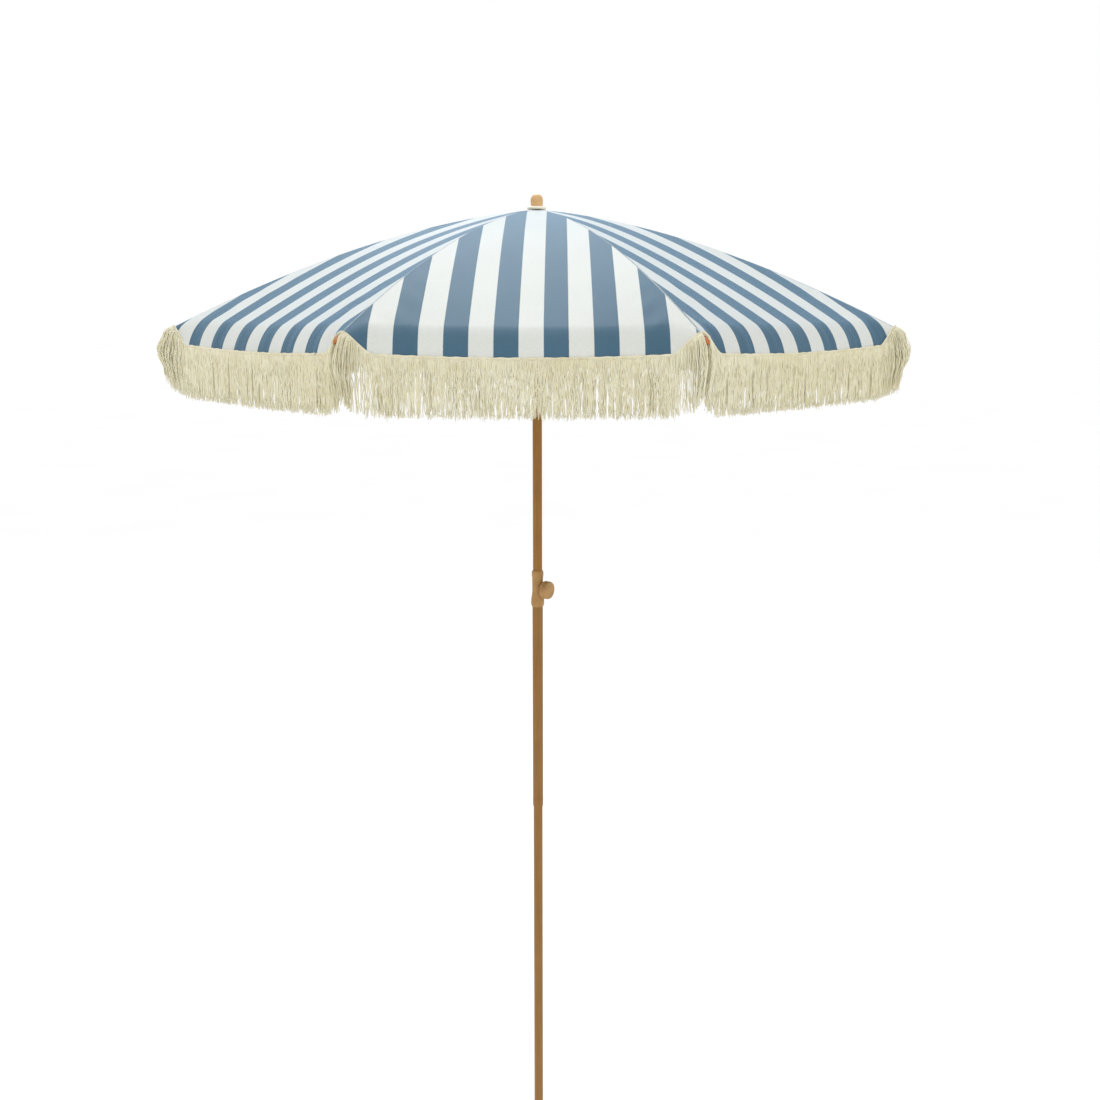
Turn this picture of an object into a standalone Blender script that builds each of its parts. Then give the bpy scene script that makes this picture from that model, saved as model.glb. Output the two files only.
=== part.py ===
"""Beach umbrella: striped eight-rib canopy with a fringe, on a three-part pole with a clamp collar.

Metres, +Z up. The origin is the blunt tip of the ground spike, on the pole's axis.
Rib 1 stands 22.5 degrees from -Y towards +X, so that a canopy panel faces -Y.
"""

import math

import bmesh
import bpy
from mathutils import Matrix, Vector

# Canopy
RIB_COUNT = 8
RIB_STEP = math.radians(45.0)
FIRST_RIB = math.radians(22.5)
RIM_RADIUS = 0.900
RIM_HEIGHT = 2.400
APEX_RISE = 0.2844
FALL_TERMS = (0.330, 0.775, -0.105)
CANOPY_HOLE = 0.010
CLOTH = 0.0012
SEAM_GAP = 0.00025
PANEL_SAG = (0.0145, -0.0035)
ROOF_END = 0.865
RIM_ROLL = 0.065
ROLL_START = math.radians(28.2)
HEM_TUCK = 0.0005
CORNER_WIDTH = 0.058
CORNER_REACH = 0.008
RIDGE_RADII = (0.08, 0.20, 0.34, 0.48, 0.62, 0.75, ROOF_END)
GORE_RADII = (CANOPY_HOLE, *RIDGE_RADII)
ROLL_STEPS = (0.35, 0.68, 1.0)
GORE_WIDTHS = (0.0, 0.028, 0.058, 0.190, 0.3444)

# Fringe
HEADER = 0.010
FRINGE_LENGTH = 0.114
FRINGE_THICK = 0.003
FRINGE_GAP = 0.0004
FRINGE_LEVELS = (0.0, 0.45, 1.0)
FRINGE_WIDTHS = (0.0, 0.0080, 0.0095, 0.030, 0.060, 0.200, 0.3444)

# Ribs and stretchers
ROD = 0.0025
ROD_GAP = 0.0008
ROD_SINK = CLOTH + ROD_GAP + ROD
ROD_END = 0.918
TONGUE_THICK = 0.0022
TONGUE_HEIGHT = 0.0044
TONGUE_REACH = 0.018
PIN_TONGUE_REACH = 0.013
ROD_EYE_GAP = 0.0125
ROD_PIN_GAP = 0.0085
EYE_RADIUS = 0.0040
EYE_HOLE = 0.0013
RING_RADIUS = 0.019
RING_WIRE = 0.0009
CROWN_PIVOT_HEIGHT = 2.672
BRACKET_RADIUS = 0.370
PIN_DROP = 0.009
PIN_RADIUS = 0.0012
PIN_HOLE = 0.00155
PIN_EYE_RADIUS = 0.0036
PIN_SHORT = 0.0004
EAR_GAP = 0.0030
EAR_WIDTH = 0.0056
EAR_HALF = 0.005
EAR_BELOW_PIN = 0.0035
EAR_ABOVE_ROD = 0.001
EAR_SLOT_TOP = 0.0009
TIP_RADIUS = 0.0050
TIP_BORE = 0.0029
TIP_LENGTH = 0.022
TIP_BORE_DEPTH = 0.012
TIP_START = 0.909

# Hubs
HUB_RADIUS = 0.026
HUB_HALF = 0.0060
SLOT_WIDTH = 0.0032
SLOT_START = 0.0128
GROOVE_HALF = 0.0013
SLOT_RUNOUT = 0.010
SLOT_HALF_HEIGHT = 0.020
HUB_ROUNDING = 0.001
BOLT_BORE = 0.0045
CROWN_STEM = 0.040
RUNNER_LENGTH = 0.048
BUTTON_DROP = 0.030
BUTTON_RADIUS = 0.0050
BUTTON_HOLE = 0.0054
BUTTON_BACK = 0.0168
BUTTON_FRONT = 0.0235
SLIDE_GAP = 0.0006

# Pole
UPPER_RADIUS = 0.0125
UPPER_WALL = 0.0012
MIDDLE_RADIUS = 0.0143
MIDDLE_WALL = 0.0011
LOWER_RADIUS = 0.01265
LOWER_WALL = 0.0015
FERRULE_GAP = 0.0004
UPPER_BOTTOM = 1.420
MIDDLE_TOP = 1.672
MIDDLE_BOTTOM = 1.0825
LOWER_TOP = 1.300
FERRULE_BOTTOM = 1.058
SPIKE_TOP = 0.100
SPIKE_PLUG = 0.030
SPIKE_SHOULDER = 0.070
SPIKE_TIP = 0.0045
COLLAR_BOTTOM = 1.642
COLLAR_TOP = 1.742
KNOB_HEIGHT = 1.691
KNOB_TURN = math.radians(57.0)
KNOB_BACK = 0.0205
KNOB_FRONT = 0.0410
KNOB_RADIUS = 0.0243
STUD_RADIUS = 0.0040
STUD_HOLE = 0.0044
STUD_START = 0.0129
STUD_END = 0.0345
KNOB_BORE_END = 0.0350
BOSS_RADIUS = 0.0082
FIT_GAP = 0.0003

# Top fittings
WASHER_RADIUS = 0.0247
WASHER_BOTTOM = 2.6850
WASHER_TOP = 2.6925
FINIAL_RADIUS = 0.0160
FINIAL_TOP = 2.722
FINIAL_BOLT = 0.0040
FINIAL_BOLT_DEPTH = 0.034

MERGE = 0.00005
SIDES = 32
SMALL_SIDES = 24
EYE_SIDES = 12
HOLE_SIDES = 8

COLOURS = {
    "pole_tan": ((0.335, 0.158, 0.065), 0.42, 0.55),
    "fitting_tan": ((0.46, 0.25, 0.10), 0.45, 0.0),
    "steel_white": ((0.70, 0.70, 0.68), 0.40, 0.8),
    "wire_steel": ((0.45, 0.45, 0.46), 0.35, 1.0),
    "canopy_cloth": ((0.36, 0.47, 0.60), 0.85, 0.0),
    "fringe_cotton": ((0.73, 0.69, 0.52), 0.95, 0.0),
    "tip_orange": ((0.50, 0.17, 0.045), 0.45, 0.0),
    "cream_plastic": ((0.80, 0.74, 0.58), 0.50, 0.0),
}


def clear_scene():
    for obj in list(bpy.data.objects):
        bpy.data.objects.remove(obj, do_unlink=True)


def new_collection(name):
    collection = bpy.data.collections.new(name)
    bpy.context.scene.collection.children.link(collection)
    return collection


clear_scene()
PARTS = new_collection("beach_umbrella")
CUTTERS = new_collection("cutters")
MATERIALS = {}


def material(name):
    if name not in MATERIALS:
        colour, roughness, metallic = COLOURS[name]
        made = bpy.data.materials.new(name)
        made.use_nodes = True
        shader = made.node_tree.nodes["Principled BSDF"]
        shader.inputs["Base Color"].default_value = (*colour, 1.0)
        shader.inputs["Roughness"].default_value = roughness
        shader.inputs["Metallic"].default_value = metallic
        made.diffuse_color = (*colour, 1.0)
        MATERIALS[name] = made
    return MATERIALS[name]


def mesh_object(name, vertices, faces, edges=()):
    mesh = bpy.data.meshes.new(name)
    mesh.from_pydata([tuple(v) for v in vertices], list(edges), list(faces))
    mesh.update()
    return bpy.data.objects.new(name, mesh)


def add_part(obj, slot, smooth=True):
    PARTS.objects.link(obj)
    obj.data.materials.clear()
    obj.data.materials.append(material(slot))
    for polygon in obj.data.polygons:
        polygon.use_smooth = smooth
    return obj


def revolve(name, profile, closed=False, sides=SIDES):
    """A solid turned about local Z from (radius, height) points, run down its outer side."""
    count = len(profile)
    edges = [(i, i + 1) for i in range(count - 1)]
    if closed:
        edges.append((count - 1, 0))
    obj = mesh_object(name, [(x, 0.0, z) for x, z in profile], [], edges)
    turn = obj.modifiers.new("turn", "SCREW")
    turn.axis = "Z"
    turn.angle = 2.0 * math.pi
    turn.steps = sides
    turn.render_steps = sides
    turn.use_merge_vertices = True
    turn.merge_threshold = MERGE
    turn.use_smooth_shade = True
    return obj


def tube_profile(outer, inner, bottom, top):
    return [(outer, top), (outer, bottom), (inner, bottom), (inner, top)]


def cutter(obj):
    CUTTERS.objects.link(obj)
    obj.hide_render = True
    obj.display_type = "WIRE"
    return obj


def cut(target, tool, operation="DIFFERENCE"):
    step = target.modifiers.new(tool.name, "BOOLEAN")
    step.operation = operation
    step.solver = "EXACT"
    step.object = tool


def box(name, low, high):
    x0, y0, z0 = low
    x1, y1, z1 = high
    corners = [
        (x0, y0, z0), (x1, y0, z0), (x1, y1, z0), (x0, y1, z0),
        (x0, y0, z1), (x1, y0, z1), (x1, y1, z1), (x0, y1, z1),
    ]
    faces = [(0, 3, 2, 1), (4, 5, 6, 7), (0, 1, 5, 4), (1, 2, 6, 5), (2, 3, 7, 6), (3, 0, 4, 7)]
    return mesh_object(name, corners, faces)


def cylinder(name, radius, low, high, sides=16):
    """A closed cylinder along local Z, from low to high."""
    mesh = bpy.data.meshes.new(name)
    work = bmesh.new()
    bmesh.ops.create_cone(
        work,
        cap_ends=True,
        segments=sides,
        radius1=radius,
        radius2=radius,
        depth=high - low,
        matrix=Matrix.Translation((0.0, 0.0, (low + high) / 2.0)),
    )
    work.to_mesh(mesh)
    work.free()
    return bpy.data.objects.new(name, mesh)


def across(obj, centre):
    """Turn a shape made along Z so that it lies along Y, at a point of the XZ plane."""
    obj.data.transform(Matrix.Translation(centre) @ Matrix.Rotation(math.pi / 2.0, 4, "X"))
    return obj


def aim(obj, start, end):
    """Lay a shape made along local X from the origin so that it runs from start to end."""
    way = end - start
    pitch = math.atan2(way.z, way.x)
    obj.data.transform(Matrix.Translation(start) @ Matrix.Rotation(-pitch, 4, "Y"))
    return obj


def plate(name, start, end, thickness, height):
    length = (end - start).length
    shape = box(
        name,
        (0.0, -thickness / 2.0, -height / 2.0),
        (length, thickness / 2.0, height / 2.0),
    )
    return aim(shape, start, end)


def rod(name, points, radius):
    """A round rod through the points, as a mesh."""
    curve = bpy.data.curves.new(name, "CURVE")
    curve.dimensions = "3D"
    curve.bevel_depth = radius
    curve.bevel_resolution = 1
    curve.use_fill_caps = True
    line = curve.splines.new("POLY")
    line.points.add(len(points) - 1)
    for point, place in zip(line.points, points):
        point.co = (*place, 1.0)
    guide = bpy.data.objects.new(name + "_line", curve)
    bpy.context.scene.collection.objects.link(guide)
    made = settle(guide, name)
    return made


def settle(obj, name):
    """The finished mesh of an object with all its steps done, as a plain object."""
    bpy.context.view_layer.update()
    graph = bpy.context.evaluated_depsgraph_get()
    mesh = bpy.data.meshes.new_from_object(obj.evaluated_get(graph))
    work = bmesh.new()
    work.from_mesh(mesh)
    bmesh.ops.remove_doubles(work, verts=work.verts, dist=0.000005)
    bmesh.ops.recalc_face_normals(work, faces=work.faces)
    work.to_mesh(mesh)
    work.free()
    mesh.name = name
    bpy.data.objects.remove(obj, do_unlink=True)
    return bpy.data.objects.new(name, mesh)


def combine(base, steps):
    """Join shapes to the base, or cut them from it, and settle the result."""
    scene = bpy.context.scene.collection
    name = base.name
    scene.objects.link(base)
    for operation, tool in steps:
        scene.objects.link(tool)
        cut(base, tool, operation)
    made = settle(base, name)
    for operation, tool in steps:
        bpy.data.objects.remove(tool, do_unlink=True)
    return made


def fall(share):
    a, b, c = FALL_TERMS
    return a * share + b * share**2 + c * share**3


def ridge_height(radius):
    return RIM_HEIGHT + APEX_RISE * (1.0 - fall(radius / RIM_RADIUS))


def ridge_slope(radius):
    a, b, c = FALL_TERMS
    share = radius / RIM_RADIUS
    return math.atan(APEX_RISE / RIM_RADIUS * (a + 2.0 * b * share + 3.0 * c * share**2))


def below_ridge(radius, depth):
    """A point under the canopy's ridge, that deep measured square to the cloth."""
    slope = ridge_slope(radius)
    return Vector((
        radius - depth * math.sin(slope),
        0.0,
        ridge_height(radius) - depth * math.cos(slope),
    ))


def corner_share(width):
    share = min(width / CORNER_WIDTH, 1.0)
    return share * share * (3.0 - 2.0 * share)


def hem_direction(width, side):
    """The way the valance faces: along the rib at its end, square to the hem elsewhere."""
    share = corner_share(width)
    angle = side * FIRST_RIB * share
    return Vector((math.cos(angle), math.sin(angle), 0.0))


def panel_sag(radius):
    """How far a panel's middle lies under the straight line between its ribs."""
    first, second = PANEL_SAG
    share = radius / RIM_RADIUS
    return first * share + second * share**2


def cloth_point(radius, width, side):
    """A point of the cloth's upper face in the rib's own frame, X along the rib."""
    half = radius * math.sin(FIRST_RIB)
    share = width / (RIM_RADIUS * math.sin(FIRST_RIB))
    share = min(share, 1.0 - SEAM_GAP / max(half, CANOPY_HOLE * 0.3))
    sag = panel_sag(radius) * (2.0 * share - share**2)
    inward = sag * math.sin(ridge_slope(radius))
    x = radius * (1.0 - share * math.sin(FIRST_RIB) ** 2) - inward * math.cos(FIRST_RIB)
    y = radius * share * math.sin(FIRST_RIB) * math.cos(FIRST_RIB) - inward * math.sin(FIRST_RIB)
    z = ridge_height(radius) - sag * math.cos(ridge_slope(radius))
    return Vector((x, side * y, z))


def rim_point(width, side, share):
    """A point of the rolled rim: share 0 is where the roof ends and share 1 is the hem."""
    corner = 1.0 - corner_share(width)
    turn = ROLL_START + (math.pi / 2.0 - ROLL_START) * share
    roll_out = RIM_ROLL * (math.sin(turn) - math.sin(ROLL_START))
    roll_down = RIM_ROLL * (math.cos(ROLL_START) - math.cos(turn)) + HEM_TUCK * share**3
    along = (RIM_RADIUS - ROOF_END + CORNER_REACH) * share
    fall_end = ridge_height(ROOF_END) - ridge_height(RIM_RADIUS)
    dip = fall_end * min(along / (RIM_RADIUS - ROOF_END), 1.0)
    outward = along * corner + roll_out * (1.0 - corner)
    down = dip * corner + roll_down * (1.0 - corner)
    edge = cloth_point(ROOF_END, width, side)
    return edge + outward * hem_direction(width, side) - Vector((0.0, 0.0, down))


def signed_widths(widths):
    left = [(w, -1.0) for w in reversed(widths)]
    right = [(w, 1.0) for w in widths[1:]]
    return left + right


def gore_rows():
    columns = signed_widths(GORE_WIDTHS)
    rows = [[cloth_point(r, w, s) for w, s in columns] for r in GORE_RADII]
    for step in ROLL_STEPS:
        rows.append([rim_point(w, s, step) for w, s in columns])
    return rows


def fringe_rows():
    columns = signed_widths(FRINGE_WIDTHS)
    rows = []
    for level in FRINGE_LEVELS:
        row = []
        for w, s in columns:
            hem = rim_point(w, s, 1.0)
            hem += FRINGE_GAP * hem_direction(w, s)
            top = HEADER
            bottom = 0.0 if w <= FRINGE_WIDTHS[1] else -FRINGE_LENGTH
            row.append(hem + Vector((0.0, 0.0, top + (bottom - top) * level)))
        rows.append(row)
    return rows


def face_directions(rows, flat):
    """One outward direction for each grid point, level with the cloth or square to it."""
    out = []
    last = len(rows) - 1
    for i, row in enumerate(rows):
        line = []
        for j, point in enumerate(row):
            down = rows[min(i + 1, last)][j] - rows[max(i - 1, 0)][j]
            side = row[min(j + 1, len(row) - 1)] - row[max(j - 1, 0)]
            if j == 0 or j == len(row) - 1:
                turn = -FIRST_RIB if j == 0 else FIRST_RIB
                side = Vector((-math.sin(turn), math.cos(turn), 0.0))
            normal = down.cross(side)
            if flat:
                normal.z = 0.0
            line.append(normal.normalized())
        out.append(line)
    return out


def thick_sheet(name, rows, inward, outward, flat=False):
    """A closed solid around a grid of points."""
    count = len(rows[0])
    normals = face_directions(rows, flat)
    outer = [p + n * outward for r, q in zip(rows, normals) for p, n in zip(r, q)]
    inner = [p - n * inward for r, q in zip(rows, normals) for p, n in zip(r, q)]
    base = len(outer)
    faces = []
    for i in range(len(rows) - 1):
        for j in range(count - 1):
            a = i * count + j
            b, c, d = a + 1, a + count + 1, a + count
            faces.append((a, d, c, b))
            faces.append((base + a, base + b, base + c, base + d))
    loop = [j for j in range(count)]
    loop += [i * count + count - 1 for i in range(1, len(rows))]
    loop += [(len(rows) - 1) * count + j for j in range(count - 2, -1, -1)]
    loop += [i * count for i in range(len(rows) - 2, 0, -1)]
    for a, b in zip(loop, loop[1:] + loop[:1]):
        faces.append((a, b, base + b, base + a))
    made = mesh_object(name, outer + inner, faces)
    work = bmesh.new()
    work.from_mesh(made.data)
    bmesh.ops.triangulate(work, faces=work.faces)
    bmesh.ops.recalc_face_normals(work, faces=work.faces)
    work.to_mesh(made.data)
    work.free()
    return made


def place_round(base, index, name):
    """A copy of a shape made along X, turned to the rib with that number."""
    obj = bpy.data.objects.new(name, base.data.copy())
    obj.rotation_euler = (0.0, 0.0, FIRST_RIB - math.pi / 2.0 + index * RIB_STEP)
    return obj


def eye_end(name, centre, towards, hole, eye, reach):
    """A flat eye at a rod's end: its tongue, its round end and the hole cut last."""
    way = (towards - centre).normalized()
    tongue = plate(name + "_tongue", centre, centre + way * reach, TONGUE_THICK, TONGUE_HEIGHT)
    disc = cylinder(name + "_eye", eye, -TONGUE_THICK / 2.0, TONGUE_THICK / 2.0, EYE_SIDES)
    drill = cylinder(name + "_hole", hole, -0.004, 0.004, HOLE_SIDES)
    across(disc, centre)
    across(drill, centre)
    return [("UNION", tongue), ("UNION", disc)], [("DIFFERENCE", drill)]


def crown_pivot():
    return Vector((RING_RADIUS, 0.0, CROWN_PIVOT_HEIGHT))


def bracket_pin():
    return below_ridge(BRACKET_RADIUS, ROD_SINK + PIN_DROP)


def runner_pivot():
    rise = CROWN_PIVOT_HEIGHT - bracket_pin().z
    return Vector((RING_RADIUS, 0.0, CROWN_PIVOT_HEIGHT - 2.0 * rise))


def rib_shape():
    pivot = crown_pivot()
    centres = [below_ridge(r, ROD_SINK) for r in (*RIDGE_RADII, RIM_RADIUS, ROD_END)]
    first = pivot + (centres[0] - pivot).normalized() * ROD_EYE_GAP
    body = rod("rib", [first] + centres, ROD)
    joins, cuts = eye_end("crown", pivot, centres[0], EYE_HOLE, EYE_RADIUS, TONGUE_REACH)
    slope = Matrix.Rotation(ridge_slope(BRACKET_RADIUS), 4, "Y")
    seat = Matrix.Translation(below_ridge(BRACKET_RADIUS, ROD_SINK)) @ slope
    half = EAR_WIDTH / 2.0
    low = -PIN_DROP - EAR_BELOW_PIN
    ears = box("ears", (-EAR_HALF, -half, low), (EAR_HALF, half, EAR_ABOVE_ROD))
    slot = box(
        "slot",
        (-EAR_HALF * 2.0, -EAR_GAP / 2.0, low * 2.0),
        (EAR_HALF * 2.0, EAR_GAP / 2.0, -ROD - EAR_SLOT_TOP),
    )
    ears.data.transform(seat)
    slot.data.transform(seat)
    pin = cylinder("pin", PIN_RADIUS, -half + PIN_SHORT, half - PIN_SHORT, HOLE_SIDES)
    across(pin, bracket_pin())
    steps = joins + [("UNION", ears), ("DIFFERENCE", slot), ("UNION", pin)] + cuts
    return combine(body, steps)


def stretcher_shape():
    low = runner_pivot()
    high = bracket_pin()
    way = (high - low).normalized()
    body = rod("stretcher", [low + way * ROD_EYE_GAP, high - way * ROD_PIN_GAP], ROD)
    joins, cuts = eye_end("low", low, high, EYE_HOLE, EYE_RADIUS, TONGUE_REACH)
    more, last = eye_end("high", high, low, PIN_HOLE, PIN_EYE_RADIUS, PIN_TONGUE_REACH)
    return combine(body, joins + more + cuts + last)


def tip_shape():
    start = below_ridge(TIP_START, ROD_SINK)
    slope = ridge_slope(TIP_START)
    profile = [
        (0.0, TIP_LENGTH), (TIP_RADIUS * 0.55, TIP_LENGTH - 0.0008),
        (TIP_RADIUS * 0.92, TIP_LENGTH - 0.003), (TIP_RADIUS, TIP_LENGTH - 0.006),
        (TIP_RADIUS * 0.84, 0.001), (TIP_RADIUS * 0.78, 0.0),
        (TIP_BORE, 0.0), (TIP_BORE, TIP_BORE_DEPTH), (0.0, TIP_BORE_DEPTH),
    ]
    shape = revolve("tip", profile, sides=12)
    bpy.context.scene.collection.objects.link(shape)
    shape = settle(shape, "tip")
    turn = Matrix.Rotation(math.pi / 2.0 + slope, 4, "Y")
    shape.data.transform(Matrix.Translation(start) @ turn)
    return shape


def build_ribs():
    shapes = {
        "rib": (rib_shape(), "steel_white"),
        "stretcher": (stretcher_shape(), "steel_white"),
        "rib_tip": (tip_shape(), "tip_orange"),
        "canopy_gore": (thick_sheet("gore", gore_rows(), CLOTH, 0.0), "canopy_cloth"),
        "fringe": (
            thick_sheet("fringe", fringe_rows(), 0.0, FRINGE_THICK, flat=True),
            "fringe_cotton",
        ),
    }
    for kind, (shape, slot) in shapes.items():
        for index in range(RIB_COUNT):
            obj = place_round(shape, index, f"{kind}_{index + 1}")
            add_part(obj, slot, smooth=kind != "fringe")
        bpy.data.objects.remove(shape, do_unlink=True)


def slot_cutters(name, height):
    """Eight radial slots for the flat eyes, and the groove that the ring wire lies in."""
    work = bmesh.new()
    mesh = bpy.data.meshes.new(name + "_slots")
    for index in range(RIB_COUNT):
        angle = FIRST_RIB - math.pi / 2.0 + index * RIB_STEP
        shape = box(
            "slot",
            (SLOT_START, -SLOT_WIDTH / 2.0, height - SLOT_HALF_HEIGHT),
            (HUB_RADIUS + SLOT_RUNOUT, SLOT_WIDTH / 2.0, height + SLOT_HALF_HEIGHT),
        )
        shape.data.transform(Matrix.Rotation(angle, 4, "Z"))
        work.from_mesh(shape.data)
        bpy.data.objects.remove(shape, do_unlink=True)
    work.to_mesh(mesh)
    work.free()
    slots = cutter(bpy.data.objects.new(name + "_slots", mesh))
    groove = cutter(revolve(
        name + "_groove",
        tube_profile(
            RING_RADIUS + GROOVE_HALF, RING_RADIUS - GROOVE_HALF,
            height - GROOVE_HALF, height + SLOT_HALF_HEIGHT,
        ),
        closed=True,
        sides=SMALL_SIDES,
    ))
    return slots, groove


def ring_wire(name, height):
    points = []
    for index in range(6):
        angle = -2.0 * math.pi * index / 6.0
        points.append((
            RING_RADIUS + RING_WIRE * math.cos(angle),
            height + RING_WIRE * math.sin(angle),
        ))
    return add_part(revolve(name, points, closed=True, sides=SMALL_SIDES), "wire_steel")


def build_crown():
    height = CROWN_PIVOT_HEIGHT
    top = height + HUB_HALF
    bottom = height - HUB_HALF
    stem = UPPER_RADIUS - UPPER_WALL - FIT_GAP
    hub = revolve("crown_hub", [
        (BOLT_BORE, top), (HUB_RADIUS - HUB_ROUNDING, top),
        (HUB_RADIUS, top - HUB_ROUNDING), (HUB_RADIUS, bottom + HUB_ROUNDING),
        (HUB_RADIUS - HUB_ROUNDING, bottom), (stem, bottom),
        (stem, height - CROWN_STEM), (BOLT_BORE, height - CROWN_STEM),
    ], closed=True, sides=SMALL_SIDES)
    for tool in slot_cutters("crown", height):
        cut(hub, tool)
    add_part(hub, "fitting_tan")
    ring_wire("crown_wire", height)
    add_part(revolve("cap_washer", [
        (BOLT_BORE, WASHER_TOP), (0.017, WASHER_TOP), (WASHER_RADIUS - 0.003, WASHER_TOP - 0.0010),
        (WASHER_RADIUS, WASHER_TOP - 0.0035), (WASHER_RADIUS - 0.0006, WASHER_BOTTOM),
        (BOLT_BORE, WASHER_BOTTOM),
    ], closed=True), "cream_plastic")
    base = WASHER_TOP + FIT_GAP
    add_part(revolve("finial", [
        (0.0, FINIAL_TOP), (0.006, FINIAL_TOP - 0.0007), (0.0112, FINIAL_TOP - 0.0032),
        (0.0148, FINIAL_TOP - 0.0085), (FINIAL_RADIUS, FINIAL_TOP - 0.015),
        (0.0157, base + 0.002), (0.0145, base), (FINIAL_BOLT, base),
        (FINIAL_BOLT, height - FINIAL_BOLT_DEPTH), (0.0, height - FINIAL_BOLT_DEPTH),
    ]), "fitting_tan")


def build_runner():
    height = runner_pivot().z
    bore = UPPER_RADIUS + SLIDE_GAP
    top = height + HUB_HALF
    end = height - RUNNER_LENGTH
    runner = revolve("runner", [
        (bore, top), (HUB_RADIUS - HUB_ROUNDING, top),
        (HUB_RADIUS, top - HUB_ROUNDING), (HUB_RADIUS, height - HUB_HALF),
        (0.0195, height - HUB_HALF - 0.006), (0.0185, end + 0.004),
        (0.0195, end), (bore, end),
    ], closed=True, sides=SMALL_SIDES)
    slots, groove = slot_cutters("runner", height)
    for tool in (slots, groove):
        cut(runner, tool)
    centre = height - BUTTON_DROP
    turn = Matrix.Translation((0.0, 0.0, centre)) @ Matrix.Rotation(math.pi / 2.0, 4, "X")
    hole = cylinder("runner_button_hole", BUTTON_HOLE, 0.004, 0.030)
    hole.data.transform(turn)
    cut(runner, cutter(hole))
    add_part(runner, "fitting_tan")
    ring_wire("runner_wire", height)
    button = cylinder("runner_button", BUTTON_RADIUS, BUTTON_BACK, BUTTON_FRONT)
    button.data.transform(turn)
    add_part(button, "cream_plastic")


def build_pole():
    add_part(revolve("upper_pole", tube_profile(
        UPPER_RADIUS, UPPER_RADIUS - UPPER_WALL, UPPER_BOTTOM,
        CROWN_PIVOT_HEIGHT - HUB_HALF - FIT_GAP,
    ), closed=True), "pole_tan")
    add_part(revolve("middle_pole", tube_profile(
        MIDDLE_RADIUS, MIDDLE_RADIUS - MIDDLE_WALL, MIDDLE_BOTTOM, MIDDLE_TOP,
    ), closed=True), "pole_tan")
    add_part(revolve("lower_pole", tube_profile(
        LOWER_RADIUS, LOWER_RADIUS - LOWER_WALL, SPIKE_TOP, LOWER_TOP,
    ), closed=True), "pole_tan")
    inner = LOWER_RADIUS + FERRULE_GAP
    top = MIDDLE_BOTTOM - FIT_GAP
    add_part(revolve("pole_ferrule", [
        (inner, top), (MIDDLE_RADIUS + 0.0002, top), (MIDDLE_RADIUS + 0.0002, top - 0.006),
        (0.0142, FERRULE_BOTTOM + 0.003), (0.0134, FERRULE_BOTTOM), (inner, FERRULE_BOTTOM),
    ], closed=True), "fitting_tan")
    plug = LOWER_RADIUS - LOWER_WALL - FIT_GAP
    seat = SPIKE_TOP - FIT_GAP
    add_part(revolve("pole_spike", [
        (0.0, seat + SPIKE_PLUG), (plug, seat + SPIKE_PLUG), (plug, seat), (LOWER_RADIUS, seat),
        (LOWER_RADIUS, SPIKE_SHOULDER), (SPIKE_TIP, 0.0), (0.0, 0.0),
    ]), "fitting_tan")


def knob_frame():
    """Local Z becomes the clamp screw's axis, pointing away from the pole."""
    turn = KNOB_TURN - math.pi / 2.0
    outward = Matrix.Rotation(turn, 4, "Z") @ Matrix.Rotation(math.pi / 2.0, 4, "Y")
    return Matrix.Translation((0.0, 0.0, KNOB_HEIGHT)) @ outward


def build_clamp():
    upper = UPPER_RADIUS + SLIDE_GAP
    middle = MIDDLE_RADIUS + FIT_GAP
    step = MIDDLE_TOP + FIT_GAP
    collar = revolve("clamp_collar", [
        (upper, COLLAR_TOP), (0.0138, COLLAR_TOP), (0.0160, COLLAR_TOP - 0.0045),
        (0.0160, COLLAR_TOP - 0.012), (0.0148, COLLAR_TOP - 0.022), (0.0146, 1.682),
        (0.0168, 1.668), (0.0179, 1.658), (0.0179, 1.649), (0.0158, COLLAR_BOTTOM),
        (middle, COLLAR_BOTTOM), (middle, step), (upper, step),
    ], closed=True)
    frame = knob_frame()
    boss = cylinder("clamp_boss", BOSS_RADIUS, 0.0135, KNOB_BACK - 0.0005, SMALL_SIDES)
    boss.data.transform(frame)
    cut(collar, cutter(boss), "UNION")
    hole = cylinder("clamp_screw_hole", STUD_HOLE, 0.008, 0.030)
    hole.data.transform(frame)
    cut(collar, cutter(hole))
    add_part(collar, "fitting_tan")
    screw = cylinder("clamp_screw", STUD_RADIUS, STUD_START, STUD_END)
    screw.data.transform(frame)
    add_part(screw, "wire_steel")
    knob = revolve("clamp_knob", [
        (0.0, KNOB_FRONT), (KNOB_RADIUS - 0.0045, KNOB_FRONT),
        (KNOB_RADIUS - 0.0013, KNOB_FRONT - 0.0013), (KNOB_RADIUS, KNOB_FRONT - 0.0045),
        (KNOB_RADIUS, KNOB_BACK + 0.0030), (KNOB_RADIUS - 0.0020, KNOB_BACK),
        (STUD_HOLE, KNOB_BACK), (STUD_HOLE, KNOB_BORE_END), (0.0, KNOB_BORE_END),
    ])
    knob.matrix_world = frame
    add_part(knob, "fitting_tan")


build_ribs()
build_crown()
build_runner()
build_pole()
build_clamp()
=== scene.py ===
import math

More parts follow.
